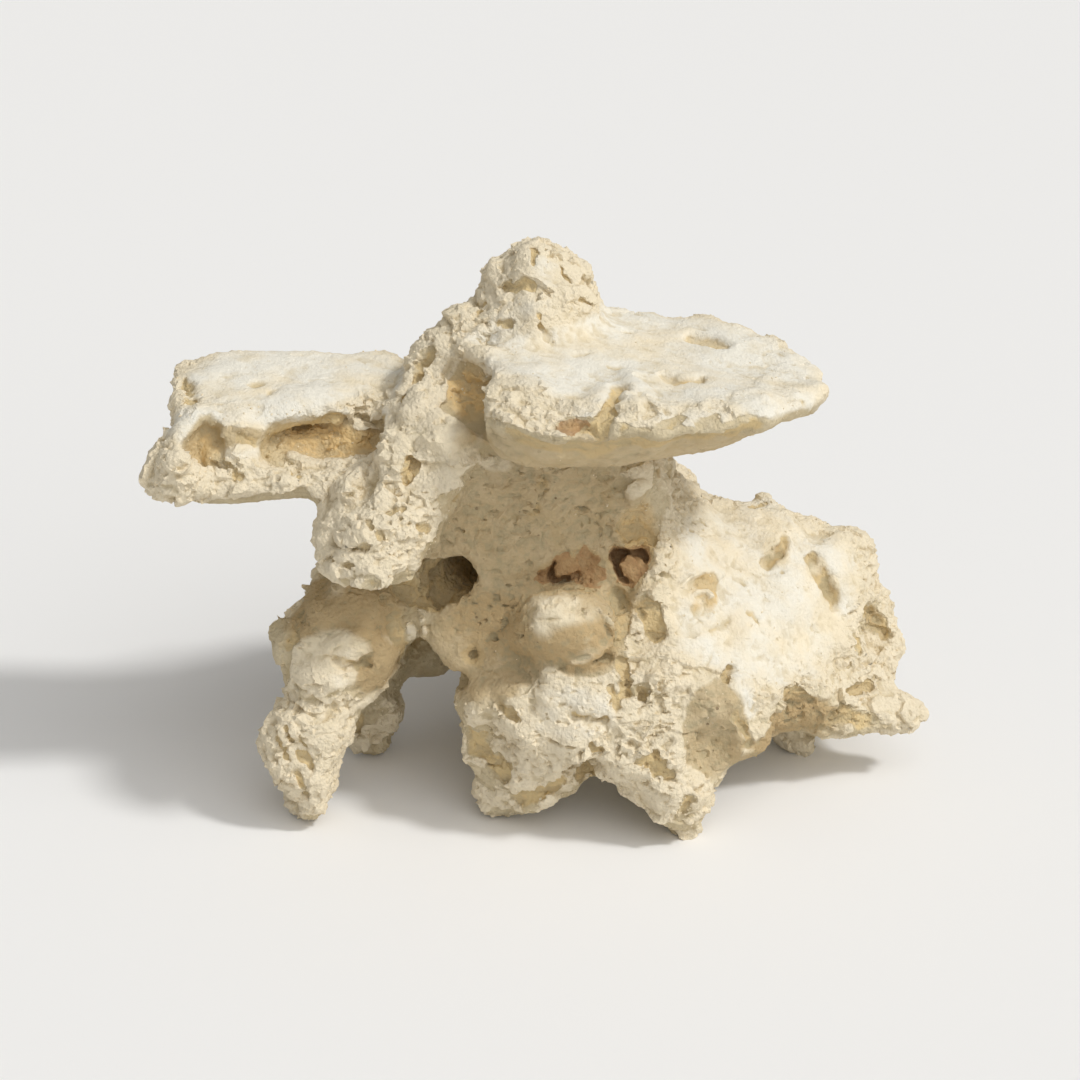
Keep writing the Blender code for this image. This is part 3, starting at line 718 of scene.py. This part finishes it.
wrinkledPlaces = {"column": ((0, -48, 120), (56, 44, 56), 0.6)}
pittedColumn = {"column": ((-8, -48, 122), (50, 44, 50), 1.0)}  # in clusters, and where the crust is off
pittedPlaces = {
    "slabUnder": ((118, -60, 38), (36, 26, 15), 0.6),
    "frontMass": ((36, -86, 48), (52, 24, 34), 0.9),
}

wrinkled = 0.4 + strongest(points, wrinkledPlaces)
pitted = strongest(points, pittedColumn) * (0.4 + 0.6 * (1 - crustedAndLit))
pitted *= 0.25 + 0.75 * ramp(swell(points, 15.0, 61.0), -0.15, 0.25)
pitted = np.maximum(pitted, strongest(points, pittedPlaces))
bent = stretched + 1.6 * drift(stretched, 7.0, 3.0)
crumbly = ramp(swell(points, 17.0, 71.0), -0.3, 0.3)  # broken small here, in larger pieces elsewhere
fields = {
    "lumps": lambda size: swell(stretched, size, 11.0),
    "blocks": lambda size: flakes(bent, size, 5.0, 1.2) * (1.25 - 0.5 * crumbly),
    "chips": lambda size: flakes(bent, size, 23.0, 1.4) * (0.25 + 0.85 * crumbly),
    "knobs": lambda size: swell(stretched, size, 3.0),
    "grit": lambda size: swell(points, size, 19.0),
    "wrinkles": lambda size: (0.3 - np.abs(rough(bent, size, 43.0))) * wrinkled,
    "pits": lambda size: -ramp(swell(bent, size, 51.0), 0.28, 0.48) * pitted,
}
calm = 1 - (1 - worn) * (bareRelief + (1 - bareRelief) * crustedAndLit)
total = crust["thick"] * (crustedAndLit - 0.5) * np.maximum(1 - 1.05 * worn, 0)
for name, (size, lift, left) in relief.items():
    total += lift * fields[name](size) * (1 - calm * (1 - left))
side = closeness(points, *wornPlaces["shelfSide"][:2])
phase = (points[:, 2] + growth["wobble"] * swell(points, 22.0, 5.0)) / growth["every"]
total += growth["lift"] * side * (phase % 1.0 - 0.5)
raisedPoints = points + normals * total[:, None]
raisedPoints[:, 2] = np.maximum(raisedPoints[:, 2], 0)
putPoints(body.data, raisedPoints)


def putAttribute(mesh, name, values):
    made = mesh.attributes.get(name) or mesh.attributes.new(name, "FLOAT", "POINT")
    made.data.foreach_set("value", np.clip(values, 0, 1))


def readAttribute(mesh, name):
    values = np.empty(len(mesh.vertices))
    mesh.attributes[name].data.foreach_get("value", values)
    return values


putAttribute(body.data, "crust", 0.5 + score)
putAttribute(body.data, "hollow", hidden)
putAttribute(body.data, "coarse", 1 - worn)
body.data.calc_loop_triangles()
thin = body.modifiers.new("thin", "DECIMATE")
thin.ratio = rockBody["triangles"] / len(body.data.loop_triangles)
applyModifiers(body)
edged = bmesh.new()
edged.from_mesh(body.data)
for face in edged.faces:
    face.smooth = True
for edge in edged.edges:
    edge.smooth = edge.calc_face_angle(0) < math.radians(rockBody["sharp"])
edged.to_mesh(body.data)
edged.free()
body.data.calc_loop_triangles()
print("body: relief,", len(body.data.loop_triangles), "triangles")


def neighbourMean(mesh, values, rounds):
    ends = np.empty(len(mesh.edges) * 2, dtype=np.int64)
    mesh.edges.foreach_get("vertices", ends)
    a, b = ends.reshape(-1, 2).T
    many = np.bincount(a, minlength=len(values)) + np.bincount(b, minlength=len(values))
    for _ in range(rounds):
        total = np.zeros_like(values)
        for axis in range(values.shape[1]):
            total[:, axis] = np.bincount(a, values[b, axis], len(values))
            total[:, axis] += np.bincount(b, values[a, axis], len(values))
        values = (values + total / many[:, None]) / 2
    return values


# where the stone is darker and more of a pinkish tan: partly its own tan, and partly painted shade where
# shade falls on the column under the shelf, the boss's lower side, the leg below the shoulder, the facet and
# the undersides; the chamber is made lighter
clayShadePlaces = {
    "column": ((0, -52, 124), (54, 40, 48), 0.6),
    "columnFoot": ((-26, -62, 84), (28, 28, 26), 0.6),
    "chamber": ((636, 526), (9, 16, 13), -0.8),
    "boss": ((582, 648), (18, 18, 13), 1.0),
    "legTop": ((330, 608), (36, 30, 17), 0.9),
    "legRight": ((380, 668), (12, 22, 18), 0.9),
    "leftBand": ((228, 437), (18, 14, 6), 0.4),
    "facet": ((712, 728), (16, 26, 24), 0.5),
    "slabUnder": ((118, -60, 40), (40, 30, 20), 1.0),
    "slab": ((100, -22, 100), (60, 60, 34), 0.12),
    "gougeLeft": ((777, 552), (6, 8, 6), 0.7),
    "gougeTop": ((817, 567), (5, 7, 6), 0.7),
    "gougeLow": ((829, 590), (5, 7, 7), 0.7),
    "edgePit": ((874, 621), (5, 7, 7), 0.6),
    "shelfSide": ((24, -50, 180), (90, 56, 12), 0.45),
}
ochrePlaces = {
    "leftHollow": ((335, 440), (26, 16, 8), 1.0),
    "leftRecess": ((210, 450), (9, 12, 9), 0.7),
    "ochreHollow": ((470, 398), (14, 12, 14), 1.0),
    "slabPit": ((703, 592), (10, 12, 12), 0.65),
    "chamber": ((636, 526), (9, 16, 13), 0.6),
}
poredPlaces = {
    "column": ((0, -50, 122), (52, 40, 52), 1.0),
    "facet": ((76, -76, 52), (24, 28, 28), 1.0),
    "slabUnder": ((128, -52, 42), (34, 24, 16), 1.0),
}
stainedPlaces = {"rimSpot": ((574, 428), (8, 6, 3), 1.0)}
stainedHoles = {"star": 0.8, "shield": 0.8}
dipRange = 1.6  # mm, from the highest bump to the deepest dip that still show

spots = readPoints(body.data)
outward = readNormals(body.data)
hidden = readAttribute(body.data, "hollow")
bare = 1 - ramp(readAttribute(body.data, "crust"), 0.42, 0.58)
# painted shade: how far each point lies below its neighbours, for darker colour in dips and creases
dip = ((neighbourMean(body.data, spots, 8) - spots) * outward).sum(axis=1)  # above 0 in a dip
putAttribute(body.data, "dip", 0.5 + dip / dipRange)
rust = strongest(spots, stainedPlaces)
for name, strength in stainedHoles.items():
    rust[insideOutline(spots, holes["outlines"][name][0])] = strength
putAttribute(body.data, "rust", rust)
clay = np.zeros(len(spots))
for centre, radii, strength in clayShadePlaces.values():
    clay += strength * closeness(spots, centre, radii)
clay = np.clip(clay, 0, 1)
putAttribute(body.data, "clay", clay)
putAttribute(body.data, "ochre", strongest(spots, ochrePlaces))
putAttribute(body.data, "pored", np.maximum(strongest(spots, poredPlaces), 0.35 * bare))

# crumbs: small broken grains that sit on the coarse places and along the crust's broken edges
crumbs = {
    "coarseCrumbs": {"seed": 3, "density": 34000, "small": 0.4, "large": 1.0},
    "fineCrumbs": {"seed": 11, "density": 90000, "small": 0.3, "large": 0.6},
}
crumbPlaces = {
    "bareFringe": ((-110, -24, 172), (60, 20, 12), 0.6),
    "ridgeTop": ((-38, -10, 196), (30, 30, 26), 0.6),
    "frontLeft": ((-22, -84, 44), (24, 22, 30), 1.3),
    "frontRight": ((46, -88, 50), (34, 24, 34), 1.3),
    "slabEdge": ((150, -40, 76), (18, 20, 16), 0.7),
    "toes": ((60, -96, 12), (30, 20, 12), 0.8),
}
edges = 1 - np.abs(bare - 0.5) * 2
worn = strongest(spots, wornPlaces)
grain = ramp(swell(spots, 11.0, 77.0), 0.0, 0.25) * (1 - worn) + 0.8 * edges * (1 - 0.95 * worn)
for centre, radii, more in crumbPlaces.values():
    grain += more * closeness(spots, centre, radii) * ramp(swell(spots, 8.0, 55.0), -0.2, 0.2)
putAttribute(body.data, "grainy", grain * (1 - ramp(hidden, 0.45, 0.7)) * (1 - 0.6 * bare) * (1 - clay))


def treeInput(tree, name, kind, value):
    socket = tree.interface.new_socket(name=name, in_out="INPUT", socket_type=kind)
    socket.default_value = value
    return socket.identifier


def node(tree, kind, links=(), **settings):
    made = tree.nodes.new(kind)
    for name, value in settings.items():
        setattr(made, name, value)
    for socket, source in dict(links).items():
        if isinstance(source, bpy.types.NodeSocket):
            tree.links.new(source, made.inputs[socket])
        else:
            made.inputs[socket].default_value = source
    return made


def crumbTree():
    tree = bpy.data.node_groups.new("crumbs", "GeometryNodeTree")
    tree.interface.new_socket(name="Geometry", in_out="INPUT", socket_type="NodeSocketGeometry")
    ids = {
        "density": treeInput(tree, "Density", "NodeSocketFloat", 1.0),
        "seed": treeInput(tree, "Seed", "NodeSocketInt", 1),
        "small": treeInput(tree, "Smallest", "NodeSocketFloat", 0.001),
        "large": treeInput(tree, "Largest", "NodeSocketFloat", 0.002),
        "stone": treeInput(tree, "Stone", "NodeSocketMaterial", None),
    }
    tree.interface.new_socket(name="Geometry", in_out="OUTPUT", socket_type="NodeSocketGeometry")
    given = tree.nodes.new("NodeGroupInput").outputs
    grainy = node(tree, "GeometryNodeInputNamedAttribute", {"Name": "grainy"}, data_type="FLOAT")
    dense = node(tree, "ShaderNodeMath", {0: grainy.outputs[0], 1: given["Density"]}, operation="MULTIPLY")
    scatter = node(tree, "GeometryNodeDistributePointsOnFaces",
                   {"Mesh": given["Geometry"], "Density": dense.outputs[0], "Seed": given["Seed"]})
    grains = node(tree, "GeometryNodeJoinGeometry")
    for k in range(4):
        lump = node(tree, "GeometryNodeMeshIcoSphere", {"Radius": 1.0, "Subdivisions": 1})
        place = node(tree, "GeometryNodeInputPosition")
        shift = node(tree, "ShaderNodeVectorMath", {0: place.outputs[0], 1: (k * 3.1, k * 5.7, k)},
                     operation="ADD")
        dent = node(tree, "ShaderNodeTexNoise", {"Vector": shift.outputs[0], "Scale": 1.1})
        size = node(tree, "ShaderNodeMapRange",
                    {"Value": dent.outputs["Fac"], "From Min": 0.3, "From Max": 0.7, "To Min": 0.55,
                     "To Max": 1.2})
        bent = node(tree, "ShaderNodeVectorMath", {0: place.outputs[0], "Scale": size.outputs[0]},
                    operation="SCALE")
        shaped = node(tree, "GeometryNodeSetPosition",
                      {"Geometry": lump.outputs[0], "Position": bent.outputs[0]})
        one = node(tree, "GeometryNodeGeometryToInstance", {0: shaped.outputs[0]})
        tree.links.new(one.outputs[0], grains.inputs[0])
    turn = node(tree, "FunctionNodeRandomValue", {0: (0, 0, 0), 1: (6.28, 6.28, 6.28), "Seed": 5},
                data_type="FLOAT_VECTOR")
    draw = node(tree, "FunctionNodeRandomValue", {2: 0.0, 3: 1.0, "Seed": 9}, data_type="FLOAT")
    fewLarge = node(tree, "ShaderNodeMath", {0: draw.outputs[1], 1: 2.2}, operation="POWER")
    size = node(tree, "ShaderNodeMapRange",
                {"Value": fewLarge.outputs[0], "To Min": given["Smallest"], "To Max": given["Largest"]})
    squash = node(tree, "FunctionNodeRandomValue", {0: (0.75, 0.75, 0.6), 1: (1.25, 1.25, 1.0), "Seed": 13},
                  data_type="FLOAT_VECTOR")
    scaled = node(tree, "ShaderNodeVectorMath", {0: squash.outputs[0], "Scale": size.outputs[0]},
                  operation="SCALE")
    placed = node(tree, "GeometryNodeInstanceOnPoints",
                  {"Points": scatter.outputs["Points"], "Instance": grains.outputs[0], "Pick Instance": True,
                   "Rotation": turn.outputs[0], "Scale": scaled.outputs[0]})
    real = node(tree, "GeometryNodeRealizeInstances", {0: placed.outputs[0]})
    painted = node(tree, "GeometryNodeSetMaterial", {"Geometry": real.outputs[0], "Material": given["Stone"]})
    end = tree.nodes.new("NodeGroupOutput")
    tree.links.new(painted.outputs[0], end.inputs[0])
    return tree, ids


# the stone: a chalky crust over tan limestone, ochre in the hollows, with painted shade in sheltered places,
# dips, pores and shaded places, and painted light where the crust's mask follows the light
stoneLook = {
    "crust": (0.86, 0.75, 0.55, 1),
    "chalk": (0.85, 0.805, 0.69, 1),
    "tan": (0.60, 0.49, 0.30, 1),
    "sand": (0.72, 0.615, 0.42, 1),
    # darker pinkish tan, partly painted shade
    "clay": (0.52, 0.38, 0.20, 1),
    "ochre": (0.75, 0.575, 0.30, 1),
    "deepOchre": (0.77, 0.555, 0.27, 1),
    "rust": (0.45, 0.26, 0.12, 1),
    "poreShade": (0.26, 0.18, 0.10, 1),
    "moss": (0.36, 0.32, 0.20, 1),
    "roughness": 0.95,
    "specular": 0.25,
    "grit": 0.8,  # how strongly the fine grit tilts the surface
    "gritDepth": 0.0010,
}


def stone():
    made = bpy.data.materials.new("limestone")
    made.use_nodes = True
    tree = made.node_tree
    shader = tree.nodes["Principled BSDF"]
    shader.inputs["Roughness"].default_value = stoneLook["roughness"]
    shader.inputs["Specular IOR Level"].default_value = stoneLook["specular"]
    place = node(tree, "ShaderNodeTexCoord").outputs["Object"]

    def value(name):
        return node(tree, "ShaderNodeAttribute", attribute_name=name).outputs["Fac"]

    def curve(source, low, high, toLow=0.0, toHigh=1.0):
        return node(tree, "ShaderNodeMapRange", {"Value": source, "From Min": low, "From Max": high,
                                                 "To Min": toLow, "To Max": toHigh}).outputs[0]

    def combine(how, a, b):
        return node(tree, "ShaderNodeMath", {0: a, 1: b}, operation=how).outputs[0]

    def blend(amount, below, above, how="MIX"):
        return node(tree, "ShaderNodeMix", {0: amount, 6: below, 7: above}, data_type="RGBA",
                    blend_type=how).outputs[2]

    def mottle(size, detail=3.0):
        return node(tree, "ShaderNodeTexNoise", {"Vector": place, "Scale": 1 / size, "Detail": detail,
                                                 "Roughness": 0.6}).outputs["Fac"]

    hollow, dip, coarseness, clayShadeAmount = value("hollow"), value("dip"), value("coarse"), value("clay")
    rusty, pores, crustAndLightScore = value("rust"), value("pored"), value("crust")
    patches = mottle(0.028)
    blotches = mottle(0.011, 4.0)
    specks = mottle(0.0045, 4.0)
    ragged = combine("ADD", crustAndLightScore, curve(specks, 0.25, 0.75, -0.09, 0.09))
    blur = combine("MAXIMUM", curve(coarseness, 0, 0.6, 0.34, 0.05), combine("MULTIPLY", clayShadeAmount, 0.4))
    crustedAndLit = curve(ragged, combine("SUBTRACT", 0.5, blur), combine("ADD", 0.5, blur))
    yellowed = combine("MULTIPLY", combine("ADD", coarseness, clayShadeAmount), 0.45)
    chalky = curve(combine("SUBTRACT", patches, yellowed), 0.25, 0.5)
    white = blend(chalky, stoneLook["crust"], stoneLook["chalk"])
    white = blend(curve(blotches, 0.52, 0.72, 0.0, 0.45), white, stoneLook["sand"])
    white = blend(combine("MULTIPLY", clayShadeAmount, 0.6), white, stoneLook["sand"])
    under = blend(curve(blotches, 0.35, 0.62), stoneLook["tan"], stoneLook["sand"])
    # ochre that the stone has in its hollows, laid on by shelter from the sky, so it also paints shade into
    # recesses
    under = blend(curve(hollow, 0.42, 0.75, 0.0, 0.9), under, stoneLook["ochre"])
    # painted shade, partly the stone's own tan: darker pinkish tan in the clay-and-shade places
    under = blend(clayShadeAmount, under, stoneLook["clay"])
    under = blend(value("ochre"), under, stoneLook["deepOchre"])
    under = blend(combine("MULTIPLY", pores, curve(specks, 0.5, 0.68, 0.0, 0.5)), under, stoneLook["moss"])
    # white crust over tan stone; its mask is partly painted light and shade
    colour = blend(crustedAndLit, under, white)
    # painted shade in dips and creases: darker tan and moss
    dipShadeColour = blend(clayShadeAmount, stoneLook["tan"], stoneLook["moss"])
    colour = blend(curve(dip, 0.57, 0.9, 0.0, 0.55), colour, dipShadeColour)
    rusted = curve(combine("ADD", rusty, curve(specks, 0.3, 0.7, -0.1, 0.1)), 0.35, 0.5)
    colour = blend(combine("MULTIPLY", rusted, curve(specks, 0.3, 0.6, 0.5, 0.85)), colour, stoneLook["rust"])
    # pinholes: dark dots of painted shade in pores, where the stone is bare and pored, in clusters
    holes = node(tree, "ShaderNodeTexVoronoi", {"Vector": place, "Scale": 260.0, "Randomness": 1.0})
    size = node(tree, "ShaderNodeSeparateColor", {0: holes.outputs["Color"]})
    reach = curve(size.outputs[0], 0.5, 1.0, 0.0, 0.22)
    bareness = combine("SUBTRACT", 1.0, combine("MULTIPLY", crustedAndLit, 0.8))
    clusters = curve(blotches, 0.42, 0.6)
    pinholeShade = combine("MULTIPLY", curve(combine("SUBTRACT", reach, holes.outputs["Distance"]), 0.0, 0.05),
                      combine("MULTIPLY", combine("MULTIPLY", pores, clusters), bareness))
    colour = blend(combine("MULTIPLY", pinholeShade, 0.85), colour, stoneLook["poreShade"])
    tree.links.new(colour, shader.inputs["Base Color"])
    grains = node(tree, "ShaderNodeTexVoronoi", {"Vector": place, "Scale": 520.0, "Randomness": 1.0})
    grit = grains.outputs["Distance"]
    fine = mottle(0.0013, 5.0)
    height = combine("MULTIPLY", grit, curve(coarseness, 0, 0.6, -0.15, -0.9))
    height = combine("ADD", height, combine("MULTIPLY", fine, curve(coarseness, 0, 0.6, 0.7, 1.5)))
    height = combine("ADD", height, combine("MULTIPLY", crustedAndLit, 0.5))
    height = combine("SUBTRACT", height, combine("MULTIPLY", pinholeShade, 1.5))
    bump = node(tree, "ShaderNodeBump", {"Height": height, "Strength": stoneLook["grit"],
                                         "Distance": stoneLook["gritDepth"]})
    tree.links.new(bump.outputs[0], shader.inputs["Normal"])
    return made


limestone = stone()
body.data.materials.clear()
body.data.materials.append(limestone)

grainTree, grainIds = crumbTree()
pieces = [body]
for name, choice in crumbs.items():
    made = newObject(name, body.data.copy())
    scatter = made.modifiers.new("crumbs", "NODES")
    scatter.node_group = grainTree
    scatter[grainIds["density"]] = float(choice["density"])
    scatter[grainIds["seed"]] = choice["seed"]
    scatter[grainIds["small"]] = choice["small"] * mm
    scatter[grainIds["large"]] = choice["large"] * mm
    scatter[grainIds["stone"]] = limestone
    applyModifiers(made)
    flat = readPoints(made.data)
    flat[:, 2] = np.maximum(flat[:, 2], 0)
    putPoints(made.data, flat)
    many = len(flat)
    putAttribute(made.data, "crust", np.full(many, 0.85))
    putAttribute(made.data, "hollow", np.zeros(many))
    putAttribute(made.data, "dip", np.full(many, 0.5))
    putAttribute(made.data, "coarse", np.ones(many))
    putAttribute(made.data, "clay", np.zeros(many))
    putAttribute(made.data, "ochre", np.zeros(many))
    made.data.calc_loop_triangles()
    print(name, len(made.data.loop_triangles), "triangles")
    pieces.append(made)

for piece in pieces:
    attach(piece, "root")
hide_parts("reef_rock")

# floor, sky and lamps
studio = {
    "floor": (0.90, 0.89, 0.87, 1),
    "floorHalf": 15.0,  # m
    "sky": 0.29,
    "lamps": {  # where from, how wide in degrees, strength
        "key": ((0.60, -0.20, 0.78), 8.0, 1.5),
        "softbox": ((0.42, -0.56, 0.72), 75.0, 1.25),
    },
}
floorMesh = bpy.data.meshes.new("floor")
half = studio["floorHalf"]
corners = [(-half, -half, 0), (half, -half, 0), (half, half, 0), (-half, half, 0)]
floorMesh.from_pydata(corners, [], [(0, 1, 2, 3)])
floor = newObject("floor", floorMesh)
floorPaint = bpy.data.materials.new("floorPaint")
floorPaint.use_nodes = True
floorPaint.node_tree.nodes["Principled BSDF"].inputs["Base Color"].default_value = studio["floor"]
floorPaint.node_tree.nodes["Principled BSDF"].inputs["Roughness"].default_value = 0.9
floorMesh.materials.append(floorPaint)

sky = bpy.data.worlds.new("sky")
scene.world = sky
sky.use_nodes = True
sky.node_tree.nodes["Background"].inputs["Color"].default_value = (1, 1, 1, 1)
sky.node_tree.nodes["Background"].inputs["Strength"].default_value = studio["sky"]

for name, (way, wide, strength) in studio["lamps"].items():
    lamp = bpy.data.lights.new(name, "SUN")
    lamp.angle = math.radians(wide)
    lamp.energy = strength
    placed = newObject(name, lamp)
    placed.rotation_mode = "QUATERNION"
    placed.rotation_quaternion = Vector(way).to_track_quat("Z", "Y")
    placed.location = Vector(look["aim"]) * mm + Vector(way)
scene.view_settings.view_transform = "Standard"
